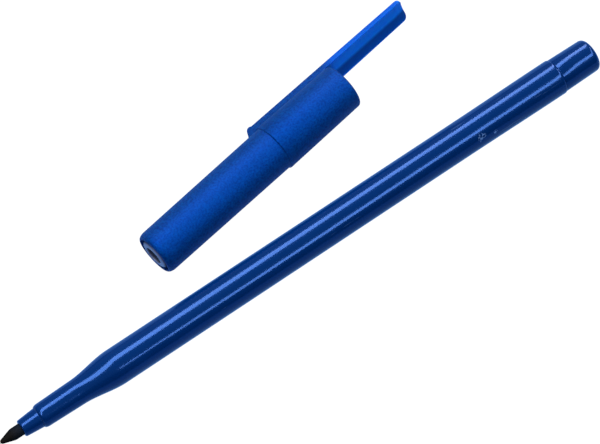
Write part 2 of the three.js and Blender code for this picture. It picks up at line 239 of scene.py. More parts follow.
rear_radius = BARREL_RADIUS + SWELL
flare_radius = NOSE_RADIUS + (FLARE_AT - NOSE_AT - NOSE_EDGE[0]) * NOSE_TAPER
flare = []
for i in range(FLARE_RINGS + 1):
    t = i / FLARE_RINGS
    flare.append((FLARE_AT + t * FLARE_LENGTH, mix(flare_radius, BARREL_RADIUS, smooth_step(t))))
swell = []
for i in range(SWELL_RINGS + 1):
    t = i / SWELL_RINGS
    along = SEAM_AT - SWELL_FROM_SEAM - SWELL_LENGTH * (1 - t)
    swell.append((along, BARREL_RADIUS + SWELL * smooth_step(t)))
flare_end = FLARE_AT + FLARE_LENGTH
passage_end = FLARE_AT + FLARE_LENGTH / 3
straight = [
    (mix(flare_end, swell[0][0], i / STRAIGHT_RINGS), BARREL_RADIUS)
    for i in range(1, STRAIGHT_RINGS)
]
barrel_rings = [
    (NOSE_AT, NOSE_SEAT),
    *rounding(NOSE_AT + NOSE_EDGE[0], NOSE_RADIUS - NOSE_EDGE[1], *NOSE_EDGE, 180, 90),
    *flare,
    *straight,
    *swell,
    *rounding(SEAM_AT - REAR_EDGE[0], rear_radius - REAR_EDGE[1], *REAR_EDGE, 90, 0),
    (SEAM_AT, BARREL_BORE),
    (flare_end, BARREL_BORE),
    (passage_end, NOSE_PASSAGE),
    (NOSE_AT + NOSE_SEAT_DEPTH, NOSE_PASSAGE),
    (NOSE_AT + NOSE_SEAT_DEPTH, NOSE_SEAT),
    (NOSE_AT, NOSE_SEAT),
]
barrel = turned("barrel_tube", barrel_rings, sides=160)
settle(barrel, pen_place, "pen", "barrel")

# %% [markdown]
# The stopper and the point's ring
#
# The stopper is a cap of the same plastic, a hair thinner than the barrel, so a thin seam
# shows all round. Its rear edge is a wide rounding on a flat end. The ring in front grips
# the fibre point. It is a short cone with a rolled lip, and the step behind it is the dark
# crease that the eye reads as the tip's edge.

# %% Turn the stopper
PLUG_FRONT_RADIUS = 3.54
PLUG_REAR_RADIUS = 3.43
PLUG_ROUNDING = 1.1
PLUG_CHAMFER = 0.12
PLUG_SPIGOT = 8.0
PLUG_FIT = 0.03
PLUG_HOLLOW = 2.03
PLUG_MIDDLE_AT = 3.5
PLUG_MIDDLE_SHARE = 0.45

plug_rings = [
    (SEAM_AT - PLUG_SPIGOT, PLUG_HOLLOW),
    (SEAM_AT - PLUG_SPIGOT, BARREL_BORE - PLUG_FIT),
    (SEAM_AT, BARREL_BORE - PLUG_FIT),
    (SEAM_AT, PLUG_FRONT_RADIUS - PLUG_CHAMFER),
    *rounding(SEAM_AT + PLUG_CHAMFER, PLUG_FRONT_RADIUS - PLUG_CHAMFER,
              PLUG_CHAMFER, PLUG_CHAMFER, 180, 90, 3)[1:],
    (SEAM_AT + PLUG_MIDDLE_AT, mix(PLUG_FRONT_RADIUS, PLUG_REAR_RADIUS, PLUG_MIDDLE_SHARE)),
    *rounding(pen_length - PLUG_ROUNDING, PLUG_REAR_RADIUS - PLUG_ROUNDING,
              PLUG_ROUNDING, PLUG_ROUNDING, 90, 0, 12),
    (pen_length, 0),
]
stopper = turned("end_stopper", plug_rings)
settle(stopper, pen_place, "pen", "end_plug")

# %% Turn the ring that holds the point
GUARD_AT = 4.68
GUARD_BORE = 1.24
GUARD_FRONT_RADIUS = 1.74
GUARD_REAR_RADIUS = 2.04
GUARD_LIP = 0.3
GUARD_CHAMFER = 0.06
SPIGOT_RADIUS = 1.61
SPIGOT_LENGTH = 6.6

guard_rings = [
    (GUARD_AT, GUARD_BORE),
    *rounding(GUARD_AT + GUARD_LIP, GUARD_FRONT_RADIUS - GUARD_LIP,
              GUARD_LIP, GUARD_LIP, 180, 90),
    (mix(GUARD_AT, NOSE_AT, 0.5), mix(GUARD_FRONT_RADIUS, GUARD_REAR_RADIUS, 0.5)),
    (NOSE_AT - GUARD_CHAMFER, GUARD_REAR_RADIUS),
    (NOSE_AT, GUARD_REAR_RADIUS - GUARD_CHAMFER),
    (NOSE_AT, SPIGOT_RADIUS),
    (NOSE_AT + SPIGOT_LENGTH, SPIGOT_RADIUS),
    (NOSE_AT + SPIGOT_LENGTH, GUARD_BORE),
    (GUARD_AT, GUARD_BORE),
]
guard = turned("point_ring", guard_rings, sides=96)
settle(guard, pen_place, "pen", "point_guard")

# %% [markdown]
# The fibre point
#
# The point is a rod of pressed nylon fibres, ground to a blunt cone and soaked with ink.
# Its form is turned as the others are: a worn round tip, the cone, and a rod that runs back
# into the reservoir. The fibres are far too fine for rings, so its material draws them.

# %% Turn the fibre point
NIB_RADIUS = 1.2
NIB_TIP_RADIUS = 0.48
NIB_CONE = math.radians(17)
NIB_END = 34.3
NIB_SHOULDER_LENGTH = 0.25
NIB_SHOULDER_DEPTH = 0.012
NIB_IN_RING = 0.2

cone_start = NIB_TIP_RADIUS * (1 - math.sin(NIB_CONE))
cone_start_radius = NIB_TIP_RADIUS * math.cos(NIB_CONE)
cone_end = cone_start + (NIB_RADIUS - cone_start_radius) / math.tan(NIB_CONE)
nib_rings = [
    (0, 0),
    *rounding(NIB_TIP_RADIUS, 0, NIB_TIP_RADIUS, NIB_TIP_RADIUS, 172, 107, 6),
    *[(mix(cone_start, cone_end, t), mix(cone_start_radius, NIB_RADIUS, t))
      for t in (0.2, 0.4, 0.6, 0.8, 0.92)],
    (cone_end, NIB_RADIUS - NIB_SHOULDER_DEPTH),
    (cone_end + NIB_SHOULDER_LENGTH, NIB_RADIUS),
    (GUARD_AT + NIB_IN_RING, NIB_RADIUS),
    (NIB_END, NIB_RADIUS),
    (NIB_END, 0),
]
nib = turned("fibre_point", nib_rings, sides=96)
settle(nib, pen_place, "pen", "nib", smooth_angle=50)

# %% [markdown]
# The inner cap
#
# Through the open end of the cap shows a second, paler moulding: a tube that closes on the
# nose so that the point can't dry out. Its end is a domed ring round a blind hole, and a
# dark gap runs round it. Four ribs along its outside hold it in the cap. One rib is drawn and
# copied round the axis, and the four are joined to the tube.

# %% Turn the inner cap
LINER_RADIUS = 3.207
LINER_BORE = 2.627
LINER_RECESS = 0.06
LINER_HOLE_RADIUS = 1.92
LINER_HOLE_DEPTH = 2.2
LINER_EDGE = 0.2
LINER_CROWN = 0.24
LINER_SLOPE = 0.5
LINER_END_WALL = 1.1
LINER_END = 22.76
LINER_LEAD_IN = 0.25

crown_at = LINER_RECESS - LINER_CROWN
crown_radius = LINER_HOLE_RADIUS + LINER_EDGE
hole_end = LINER_RECESS + LINER_HOLE_DEPTH
liner_rings = [
    (hole_end, 0),
    (hole_end, LINER_HOLE_RADIUS),
    *rounding(crown_at + LINER_EDGE, crown_radius, LINER_EDGE, LINER_EDGE, 270, 180, 4),
    *rounding(crown_at + LINER_SLOPE, crown_radius, LINER_SLOPE, LINER_RADIUS - crown_radius,
              180, 90, 8)[1:],
    (LINER_END, LINER_RADIUS),
    (LINER_END, LINER_BORE + LINER_LEAD_IN),
    (LINER_END - LINER_LEAD_IN, LINER_BORE),
    (hole_end + LINER_END_WALL, LINER_BORE),
    (hole_end + LINER_END_WALL, 0),
]
liner = turned("inner_cap", liner_rings, sides=96)


# %% Draw one rib and copy it round the tube
CAP_BORE = 3.85
RIB_START = 3.5
RIB_END = 21.96
RIB_WIDTH = 0.8
RIB_EDGE = 0.08
RIB_FIT = 0.04
RIB_COUNT = 4


def join_with(piece, tool, operation):
    """Joins a tool to a piece, or cuts it out of the piece, and removes the tool."""
    select_only(piece)
    change = piece.modifiers.new(tool.name, "BOOLEAN")
    change.operation = operation
    change.solver = "EXACT"
    change.object = tool
    bpy.ops.object.modifier_apply(modifier=change.name)
    bpy.data.objects.remove(tool)


rib_inside = (LINER_BORE + LINER_RADIUS) / 2
rib_outside = CAP_BORE - RIB_FIT
select_only()
bpy.ops.mesh.primitive_cube_add(
    size=1, location=((RIB_START + RIB_END) / 2 * MM, 0, (rib_inside + rib_outside) / 2 * MM)
)
rib = bpy.context.object
rib.name = "rib"
rib.scale = ((RIB_END - RIB_START) * MM, RIB_WIDTH * MM, (rib_outside - rib_inside) * MM)
bpy.ops.object.transform_apply(location=True, rotation=True, scale=True)
bpy.ops.object.mode_set(mode="EDIT")
bpy.ops.mesh.select_all(action="SELECT")
bpy.ops.mesh.bevel(offset=RIB_EDGE * MM, segments=2)
bpy.ops.object.mode_set(mode="OBJECT")
for i in range(RIB_COUNT):
    select_only(rib)
    bpy.ops.object.duplicate()
    copy = bpy.context.object
    copy.rotation_euler.x = (i + 0.5) * 2 * math.pi / RIB_COUNT
    bpy.ops.object.transform_apply(location=True, rotation=True, scale=True)
    join_with(liner, copy, "UNION")
bpy.data.objects.remove(rib)
settle(liner, cap_place, "cap", "cap_liner")

# %% [markdown]
# The cap and its clip
#
# The cap is the hardest piece to mould: a thin tube, a thicker collar that starts with one
# small step, and a clip that rises from the tube on a steep ramp, passes a low ridge, lies
# on the collar as a flat bar and then stands free past the mouth. The tube is turned as the
# others are. The clip starts as one flat face that is extruded section by section. Its
# edges are then bevelled, and its free end is cut to a hollow that follows the barrel.
# The two are joined, and the corners where they meet get a fine rounding, as the mould's
# own corners give. Joining leaves a few very short edges, and a bevel is never wider than
# the shortest of them, so they are merged first.

# %% Turn the tube and collar
CAP_LENGTH = 50.43
CAP_END_RADIUS = 4.62
CAP_END_EDGE = (1.5, 0.7)
SHOULDER_AT = 31.6
SHOULDER_RADIUS = 4.76
SHOULDER_CHAMFER = 0.12
COLLAR_FRONT_RADIUS = 5.02
COLLAR_MOUTH_RADIUS = 4.88
MOUTH_ROUNDING = 0.5
MOUTH_LEAD_IN = 0.2
TAPER_RINGS = (12, 24)

# Five rings draw the step: two for its foot and three for its rounded lip.
shoulder_end = SHOULDER_AT + SHOULDER_CHAMFER
shell_rings = [
    (0, CAP_BORE),
    *rounding(CAP_END_EDGE[0], CAP_END_RADIUS - CAP_END_EDGE[1], *CAP_END_EDGE, 180, 90, 10),
    *[(at, mix(CAP_END_RADIUS, SHOULDER_RADIUS, at / SHOULDER_AT)) for at in TAPER_RINGS],
    (SHOULDER_AT - 0.03, SHOULDER_RADIUS),
    (SHOULDER_AT, SHOULDER_RADIUS + 0.02),
    (shoulder_end - 0.03, COLLAR_FRONT_RADIUS - 0.06),
    (shoulder_end, COLLAR_FRONT_RADIUS - 0.02),
    (shoulder_end + 0.05, COLLAR_FRONT_RADIUS),
    *rounding(CAP_LENGTH - MOUTH_ROUNDING, COLLAR_MOUTH_RADIUS - MOUTH_ROUNDING,
              MOUTH_ROUNDING, MOUTH_ROUNDING, 90, 0, 8),
    (CAP_LENGTH, CAP_BORE + MOUTH_LEAD_IN),
    (CAP_LENGTH - MOUTH_LEAD_IN, CAP_BORE),
    (0, CAP_BORE),
]
cap = turned("cap_moulding", shell_rings, sides=192)

# %% List the clip's sections: place, width, bottom and top
CLIP_TIP = CAP_LENGTH + 20.8
CLIP_HOLLOW = 5.07
CLIP_ROOT_WIDTH = 5.64
CLIP_TIP_WIDTH = 5.08
CLIP_ROOT_THICKNESS = 0.8
CLIP_TIP_THICKNESS = 0.57
CLIP_EDGE = 0.22
CLIP_LIP = 0.1
CLIP_CORNER = 1.1
CLIP_OPENING = 0.28
CLIP_OPENING_LENGTH = 2.4
CLIP_BASE = 2.9
RIDGE_AT = 31.0
RIDGE_LENGTH = 0.4
RIDGE_HEIGHT = 0.25
RIDGE_FALL_AT = 0.85
RIDGE_FALL = 1.15
RAMP_LENGTH = 1.65
RAMP = [(0, 0), (0.15, 0.195), (0.29, 0.37), (0.41, 0.54), (0.53, 0.7),
        (0.64, 0.815), (0.76, 0.905), (0.88, 0.962), (1, 1)]
RIDGE_RINGS = 6
CORNER_RINGS = 7
ON_COLLAR_AT = (38, 44)
FREE_AFTER = 0.3
FREE_AT = (57, 63)

ridge_end = RIDGE_AT + (RIDGE_FALL_AT + RIDGE_FALL) * RIDGE_LENGTH
free_from = CAP_LENGTH - MOUTH_ROUNDING


def clip_width(along):
    return mix(CLIP_ROOT_WIDTH, CLIP_TIP_WIDTH, (along - ridge_end) / (CLIP_TIP - ridge_end))


def clip_top(along):
    share = (along - ridge_end) / (CLIP_TIP - ridge_end)
    return CLIP_HOLLOW + mix(CLIP_ROOT_THICKNESS, CLIP_TIP_THICKNESS, share)


def clip_lip(along):
    return math.sqrt(CLIP_HOLLOW ** 2 - (clip_width(along) / 2) ** 2) + CLIP_LIP


ridge_top = clip_top(RIDGE_AT) + RIDGE_HEIGHT
sections = []
for length, height in RAMP:
    along = RIDGE_AT - RAMP_LENGTH * (1 - length)
    sections.append((along, clip_width(along), CLIP_BASE, mix(CAP_BORE, ridge_top, height)))
for i in range(RIDGE_RINGS + 1):
    along = RIDGE_AT + RIDGE_LENGTH * (RIDGE_FALL_AT + RIDGE_FALL * i / RIDGE_RINGS)
    top = mix(ridge_top, clip_top(along), smooth_step(i / RIDGE_RINGS))
    sections.append((along, clip_width(along), CLIP_BASE, top))
for along in (*ON_COLLAR_AT, free_from):
    sections.append((along, clip_width(along), CLIP_BASE, clip_top(along)))
for along in (free_from + FREE_AFTER, *FREE_AT):
    sections.append((along, clip_width(along), clip_lip(along), clip_top(along)))
for i in range(CORNER_RINGS + 1):
    angle = math.pi / 2 * i / CORNER_RINGS
    along = CLIP_TIP - CLIP_CORNER * (1 - math.sin(angle))
    inset = CLIP_CORNER * (1 - math.cos(angle))
    sections.append((along, clip_width(along) - 2 * inset, clip_lip(along), clip_top(along)))
print(f"{len(sections)} sections from {sections[0][0]:.2f} to {sections[-1][0]:.2f} mm")

# %% Extrude the clip section by section
along, width, low, high = sections[0]
select_only()
bpy.ops.mesh.primitive_plane_add(
    size=1, location=(along * MM, 0, (low + high) / 2 * MM), rotation=(0, math.pi / 2, 0)
)
clip = bpy.context.object
clip.name = "clip"
clip.scale = ((high - low) * MM, width * MM, 1)
bpy.ops.object.transform_apply(location=True, rotation=True, scale=True)
bpy.ops.object.mode_set(mode="EDIT")
bpy.ops.mesh.select_all(action="SELECT")
for old, new in zip(sections, sections[1:]):
    rise = (new[2] + new[3]) / 2 - (old[2] + old[3]) / 2
    bpy.ops.mesh.extrude_region_move(
        TRANSFORM_OT_translate={"value": ((new[0] - old[0]) * MM, 0, rise * MM)}
    )
    bpy.ops.transform.resize(
        value=(1, new[1] / old[1], (new[3] - new[2]) / (old[3] - old[2])),
        center_override=(new[0] * MM, 0, (new[2] + new[3]) / 2 * MM),
    )
bpy.ops.mesh.select_all(action="SELECT")
bpy.ops.mesh.normals_make_consistent(inside=False)
bpy.ops.mesh.dissolve_limited(angle_limit=math.radians(1.5))
bpy.ops.object.mode_set(mode="OBJECT")
print(f"clip: {len(clip.data.polygons)} faces before its edges are rounded")

# %% Round the clip's edges and hollow its free end
edges = clip.modifiers.new("edges", "BEVEL")
edges.width = CLIP_EDGE * MM
edges.segments = 4
edges.limit_method = "ANGLE"
edges.angle_limit = math.radians(50)
select_only(clip)
bpy.ops.object.modifier_apply(modifier=edges.name)

WALL_MIDDLE = 4.3
CUT_BEFORE_RIDGE = 4
opening_at = CLIP_TIP - CLIP_OPENING_LENGTH
cutter = turned("hollow", [
    (RIDGE_AT - CUT_BEFORE_RIDGE, 0),
    (RIDGE_AT - CUT_BEFORE_RIDGE, WALL_MIDDLE),
    (free_from, WALL_MIDDLE),
    (free_from, CLIP_HOLLOW),
    (opening_at, CLIP_HOLLOW),
    (opening_at + 2 * CLIP_OPENING_LENGTH, CLIP_HOLLOW + 2 * CLIP_OPENING),
    (opening_at + 2 * CLIP_OPENING_LENGTH, 0),
], sides=192)
join_with(clip, cutter, "DIFFERENCE")
join_with(cap, clip, "UNION")

# %% Soften the corners that the joining left
def merge_close(piece, distance):
    """Merges points that are closer than the distance in millimetres."""
    select_only(piece)
    bpy.ops.object.mode_set(mode="EDIT")
    bpy.ops.mesh.select_all(action="SELECT")
    bpy.ops.mesh.remove_doubles(threshold=distance * MM)
    bpy.ops.mesh.dissolve_degenerate(threshold=distance * MM)
    bpy.ops.object.mode_set(mode="OBJECT")


SOFT_CORNER = 0.06

merge_close(cap, SOFT_CORNER / 3)
soft = cap.modifiers.new("soft corners", "BEVEL")
soft.width = SOFT_CORNER * MM
soft.segments = 2
soft.limit_method = "ANGLE"
soft.angle_limit = math.radians(38)
select_only(cap)
bpy.ops.object.modifier_apply(modifier=soft.name)
merge_close(cap, SOFT_CORNER / 30)
settle(cap, cap_place, "cap", "cap_shell", smooth_angle=32)

# %% [markdown]
# Colours and a way to add nodes
#
# Colours are picked as sRGB hex values, as a paint program shows them, and a shader wants
# linear ones, so one function converts them. Another adds a node, sets it and links it, so
# that each material below reads as a short list of what it is made of.

# %% Helpers for materials
def linear(hex_colour):
    """An sRGB hex colour as the linear RGBA that a shader takes."""
    channels = [int(hex_colour[i:i + 2], 16) / 255 for i in (1, 3, 5)]
    return (*[c / 12.92 if c <= 0.04045 else ((c + 0.055) / 1.055) ** 2.4 for c in channels], 1)


def add_node(tree, kind, settings=None, values=None, links=None):
    """Adds a node, sets its properties and sockets, and links its inputs."""
    node = tree.nodes.new(kind)
    for key, value in (settings or {}).items():
        setattr(node, key, value)
    for key, value in (values or {}).items():
        node.inputs[key].default_value = value
    for key, output in (links or {}).items():
        tree.links.new(output, node.inputs[key])
    return node


def start_material(name):
    """A material with no nodes yet, and its tree."""
    material = bpy.data.materials.new(name)
    material.use_nodes = True
    material.node_tree.nodes.clear()
    return material, material.node_tree


def worn_edges(tree, place, radius):
    """1 along worn edges of that radius in millimetres, 0 elsewhere, broken up by a noise."""
    flat = add_node(tree, "ShaderNodeNewGeometry").outputs["Normal"]
    round_normal = add_node(tree, "ShaderNodeBevel", {"samples": 6},
                            {"Radius": radius * MM}).outputs["Normal"]
    same = add_node(tree, "ShaderNodeVectorMath", {"operation": "DOT_PRODUCT"},
                    links={0: flat, 1: round_normal}).outputs["Value"]
    edge = add_node(tree, "ShaderNodeMapRange",
                    values={"From Min": 0.97, "From Max": 0.85, "To Max": 0.4},
                    links={"Value": same}).outputs["Result"]
    patches = add_node(tree, "ShaderNodeTexNoise", values={"Scale": 700, "Detail": 2},
                       links={"Vector": place}).outputs["Fac"]
    kept = add_node(tree, "ShaderNodeMapRange", values={"From Min": 0.35, "From Max": 0.6},
                    links={"Value": patches}).outputs["Result"]
    return add_node(tree, "ShaderNodeMath", {"operation": "MULTIPLY"},
                    links={0: edge, 1: kept}).outputs["Value"]


def dress(material, *pieces):
    for piece in pieces:
        piece.data.materials.clear()
        piece.data.materials.append(material)


# %% [markdown]
# Glossy moulded polypropylene
#
# The barrel comes from a polished mould. Its colour is deep, its gloss is high, and its
# reflections keep some of the blue. A real one is never a perfect mirror: the plastic
# sinks a little as it cools, and fine handling marks run along it. A slow wave, some 6 mm
# long, stands for the sinking, and a stretched noise for the marks.
#
# Use shows in three ways. The edges turn pale where they rub, a few thin scratches run
# along the barrel, and near the rear there are two small scuffs. A scuff could be painted
# or placed. Here each is a point on the surface, and within its reach the contour lines of
# a noise are drawn pale, because a contour line wanders as a scuff does.

# %% The barrel's plastic
def on_barrel(along, angle):
    """A point on the barrel's surface, at an angle in degrees from the top towards -Y."""
    turn = math.radians(angle)
    side = Vector((0, -math.sin(turn), math.cos(turn))) * BARREL_RADIUS
    return pen_place @ (Vector((along, side.y, side.z)) * MM)


SCUFFS = [(on_barrel(109.5, 52), 1.1 * MM), (on_barrel(112.5, 61), 0.5 * MM)]

glossy_plastic, tree = start_material("moulded_gloss_polypropylene")
place = add_node(tree, "ShaderNodeTexCoord").outputs["Object"]
scuffing = add_node(tree, "ShaderNodeTexNoise", values={"Scale": 1400, "Detail": 2},
                    links={"Vector": place}).outputs["Fac"]
sink = add_node(tree, "ShaderNodeTexNoise", values={"Scale": 160, "Detail": 1},
                links={"Vector": place}).outputs["Fac"]
along_pen = add_node(tree, "ShaderNodeMapping", values={"Scale": (0.04, 1, 1)},
                     links={"Vector": place}).outputs["Vector"]
marks = add_node(tree, "ShaderNodeTexNoise", values={"Scale": 2400, "Detail": 1},
                 links={"Vector": along_pen}).outputs["Fac"]
gloss = add_node(tree, "ShaderNodeMapRange",
                 values={"From Min": 0.3, "From Max": 0.75, "To Min": 0.12, "To Max": 0.16},
                 links={"Value": marks}).outputs["Result"]
uneven = add_node(tree, "ShaderNodeBump", values={"Strength": 0.25, "Distance": 0.02 * MM},
                  links={"Height": sink}).outputs["Normal"]
clean = add_node(tree, "ShaderNodeMix", {"data_type": "RGBA"},
                 {"A": linear("#002a68"), "B": linear("#002f71")}, {"Factor": sink})
worn = worn_edges(tree, place, 0.15)
scratches = add_node(tree, "ShaderNodeTexNoise",
                     values={"Scale": 1500, "Detail": 3, "Roughness": 0.7},
                     links={"Vector": along_pen}).outputs["Fac"]
scratched = add_node(tree, "ShaderNodeMapRange",
                     values={"From Min": 0.69, "From Max": 0.74, "To Max": 0.35},
                     links={"Value": scratches}).outputs["Result"]
wear = add_node(tree, "ShaderNodeMath", {"operation": "MAXIMUM"},
                links={0: worn, 1: scratched}).outputs["Value"]
broken = add_node(tree, "ShaderNodeMath", {"operation": "COMPARE"}, {1: 0.5, 2: 0.045},
                  {0: scuffing}).outputs["Value"]
for spot, size in SCUFFS:
    distance = add_node(tree, "ShaderNodeVectorMath", {"operation": "DISTANCE"}, {1: spot},
                        {0: place}).outputs["Value"]
    near = add_node(tree, "ShaderNodeMapRange",
                    values={"From Min": size, "From Max": 0.6 * size, "To Max": 0.8},
                    links={"Value": distance}).outputs["Result"]
    scuff = add_node(tree, "ShaderNodeMath", {"operation": "MULTIPLY"},
                     links={0: near, 1: broken}).outputs["Value"]
    wear = add_node(tree, "ShaderNodeMath", {"operation": "MAXIMUM"},
                    links={0: wear, 1: scuff}).outputs["Value"]
tint = add_node(tree, "ShaderNodeMix", {"data_type": "RGBA"}, {"B": linear("#6f9be0")},
                {"A": clean.outputs["Result"], "Factor": wear})
surface = add_node(
    tree, "ShaderNodeBsdfPrincipled",
    values={"IOR": 1.49, "Specular Tint": (0.13, 0.33, 1.0, 1)},
    links={"Base Color": tint.outputs["Result"], "Roughness": gloss, "Normal": uneven},
)
add_node(tree, "ShaderNodeOutputMaterial", links={"Surface": surface.outputs["BSDF"]})
dress(glossy_plastic, barrel, stopper, guard)

# %% [markdown]
# Satin moulded polypropylene
#
# The cap's mould was spark-eroded, which leaves a fine even grain that scatters the light.
# The real grain is about 0.1 mm, too fine for the picture, so it is drawn some three times
# as coarse. A second, slower noise changes the colour a little, as flow in the mould does.
#
# The clip past the mouth is barely 0.6 mm thick, and light that comes through it makes it
# paler than the cap, most of all in its upper part. Real scattering through so fine a wall
# takes very many samples to settle. So a little of it is left to the shader, and the
# rest is painted light and shade. Past the mouth the clip fades over 2.5 mm to a painted
# glow, so it stays darker near the mouth as painted shade. Across the clip a ramp paints a
# pale line along its lower edge, a band of painted shade above that, and a bright upper part.

# %% The cap's plastic
satin_plastic, tree = start_material("spark_eroded_polypropylene")
place = add_node(tree, "ShaderNodeTexCoord").outputs["Object"]
grain = add_node(tree, "ShaderNodeTexNoise",
                 values={"Scale": 2600, "Detail": 3, "Roughness": 0.7},
                 links={"Vector": place}).outputs["Fac"]
flow = add_node(tree, "ShaderNodeTexNoise", values={"Scale": 420, "Detail": 3},
                links={"Vector": place}).outputs["Fac"]
grained = add_node(tree, "ShaderNodeBump", values={"Strength": 0.7, "Distance": 0.06 * MM},
                   links={"Height": grain}).outputs["Normal"]
grains = add_node(tree, "ShaderNodeMapRange", values={"From Min": 0.38, "From Max": 0.62},
                  links={"Value": grain}).outputs["Result"]
grain_tint = add_node(tree, "ShaderNodeMix", {"data_type": "RGBA"},
                      {"A": linear("#002b61"), "B": linear("#004892")}, {"Factor": grains})
flow_tint = add_node(tree, "ShaderNodeMix", {"data_type": "RGBA", "blend_type": "MULTIPLY"},
                     {"B": (0.6, 0.8, 0.85, 1)},
                     {"A": grain_tint.outputs["Result"], "Factor": flow})
along_cap = add_node(tree, "ShaderNodeVectorMath", {"operation": "DOT_PRODUCT"},
                     {1: cap_direction}, {0: place}).outputs["Value"]
mouth_at = cap_end.dot(cap_direction) + CAP_LENGTH * MM
# Painted light: past the mouth the cap's colour gives way to the clip's painted light and shade,
# and the first 2.5 mm stay darker, as painted shade by the mouth.
painted_light_past_mouth = add_node(tree, "ShaderNodeMapRange",
                values={"From Min": mouth_at - 0.2 * MM, "From Max": mouth_at + 2.5 * MM},
                links={"Value": along_cap}).outputs["Result"]
clip_across = cap_place.to_3x3() @ Vector((0, -1, 0))
middle_at = cap_end.dot(clip_across)
across = add_node(tree, "ShaderNodeVectorMath", {"operation": "DOT_PRODUCT"},
                  {1: clip_across}, {0: place}).outputs["Value"]
across_share = add_node(tree, "ShaderNodeMapRange",
                        values={"From Min": middle_at - 3 * MM, "From Max": middle_at + 3 * MM},
                        links={"Value": across}).outputs["Result"]
# The ramp across the clip paints a pale line along its lower edge, a dark band of painted shade
# above it, and a bright upper part that stands for light coming through the wall.
painted_clip_light_and_shade = add_node(tree, "ShaderNodeValToRGB", links={"Fac": across_share})
stops = painted_clip_light_and_shade.color_ramp.elements
for at, colour in ((0.1, "#0070e0"), (0.13, "#003c8c"), (0.36, "#00408c"), (0.47, "#007cf8"),
                   (0.88, "#0084ff"), (0.93, "#0056c0")):
    stops.new(at).color = linear(colour)
stops[0].color = linear("#0070e0")
stops[-1].color = linear("#0056c0")
tint = add_node(tree, "ShaderNodeMix", {"data_type": "RGBA"},
                links={"A": flow_tint.outputs["Result"], "B": painted_clip_light_and_shade.outputs["Color"],
                       "Factor": painted_light_past_mouth})
tint = add_node(tree, "ShaderNodeMix", {"data_type": "RGBA"}, {"B": linear("#5c93e6")},
                {"A": tint.outputs["Result"], "Factor": worn_edges(tree, place, 0.12)})
surface = add_node(
    tree, "ShaderNodeBsdfPrincipled",
    values={"IOR": 1.49, "Roughness": 0.58, "Specular IOR Level": 1.0,
            "Specular Tint": (0.0, 0.12, 1.0, 1), "Subsurface Weight": 0.4,
            "Subsurface Radius": (0.05, 0.4, 1.2), "Subsurface Scale": MM},
    links={"Base Color": tint.outputs["Result"], "Normal": grained},
)
add_node(tree, "ShaderNodeOutputMaterial", links={"Surface": surface.outputs["BSDF"]})
dress(satin_plastic, cap)

# %% [markdown]
# Natural polyethylene, stained fibre and clear film
#
# The inner cap is a softer, milky plastic with a blue-grey cast. Its blind hole and the gap
# round its end are painted dark as shade. The point is pressed nylon fibre, whose fibres run
# along it. It is black with dried
# ink at its tip and a wet blue near its ring. The reservoir and its film lie inside the
# barrel and are seen by nobody, but they are finished too, so that the parts look right on
# their own.

# %% The inner cap's plastic
milky_plastic, tree = start_material("natural_polyethylene")
place = add_node(tree, "ShaderNodeTexCoord").outputs["Object"]
cloud = add_node(tree, "ShaderNodeTexNoise", values={"Scale": 900, "Detail": 2},
                 links={"Vector": place}).outputs["Fac"]
clean = add_node(tree, "ShaderNodeMix", {"data_type": "RGBA"},
                 {"A": linear("#6c78b2"), "B": linear("#929fd2")}, {"Factor": cloud})
along_cap = add_node(tree, "ShaderNodeVectorMath", {"operation": "DOT_PRODUCT"},
                     {1: cap_direction}, {0: place}).outputs["Value"]
# Painted shade: between 0.08 mm outside and 0.18 mm inside the end the plastic turns to a dark
# blue and a rough finish, and stays so deeper in, for the shade in the blind hole and in the gap
# round the end.
end_at = cap_end.dot(cap_direction)
painted_hole_shade = add_node(tree, "ShaderNodeMapRange",
                values={"From Min": end_at - 0.08 * MM, "From Max": end_at + 0.18 * MM},
                links={"Value": along_cap}).outputs["Result"]
dull = add_node(tree, "ShaderNodeMapRange", values={"To Min": 0.38, "To Max": 0.95},
                links={"Value": painted_hole_shade}).outputs["Result"]
tint = add_node(tree, "ShaderNodeMix", {"data_type": "RGBA"}, {"B": linear("#0b3160")},
                {"A": clean.outputs["Result"], "Factor": painted_hole_shade})
surface = add_node(
    tree, "ShaderNodeBsdfPrincipled", values={"IOR": 1.51},
    links={"Base Color": tint.outputs["Result"], "Roughness": dull},
)
add_node(tree, "ShaderNodeOutputMaterial", links={"Surface": surface.outputs["BSDF"]})
dress(milky_plastic, liner)

# %% The point's fibre
inked_fibre, tree = start_material("pressed_nylon_fibre")
place = add_node(tree, "ShaderNodeTexCoord").outputs["Object"]
along_pen = add_node(tree, "ShaderNodeMapping", values={"Scale": (0.12, 1, 1)},
                     links={"Vector": place}).outputs["Vector"]
fibres = add_node(tree, "ShaderNodeTexNoise", values={"Scale": 6500, "Detail": 3},
                  links={"Vector": along_pen}).outputs["Fac"]
patches = add_node(tree, "ShaderNodeTexNoise", values={"Scale": 900, "Detail": 2},
                   links={"Vector": place}).outputs["Fac"]
raised = add_node(tree, "ShaderNodeBump", values={"Strength": 0.8, "Distance": 0.06 * MM},
                  links={"Height": fibres}).outputs["Normal"]
dried = add_node(tree, "ShaderNodeMix", {"data_type": "RGBA"},
                 {"A": linear("#040303"), "B": linear("#120f0d")}, {"Factor": patches})
from_tip = add_node(tree, "ShaderNodeSeparateXYZ", links={"Vector": place}).outputs["X"]
wet = add_node(tree, "ShaderNodeMapRange",
               values={"From Min": pen_tip + 2 * MM, "From Max": pen_tip + GUARD_AT * MM},
               links={"Value": from_tip}).outputs["Result"]
tint = add_node(tree, "ShaderNodeMix", {"data_type": "RGBA"}, {"B": linear("#0a1626")},
                {"A": dried.outputs["Result"], "Factor": wet})
surface = add_node(
    tree, "ShaderNodeBsdfPrincipled",
    values={"IOR": 1.5, "Roughness": 0.75, "Specular IOR Level": 0.05},
    links={"Base Color": tint.outputs["Result"], "Normal": raised},
)
add_node(tree, "ShaderNodeOutputMaterial", links={"Surface": surface.outputs["BSDF"]})
dress(inked_fibre, nib)

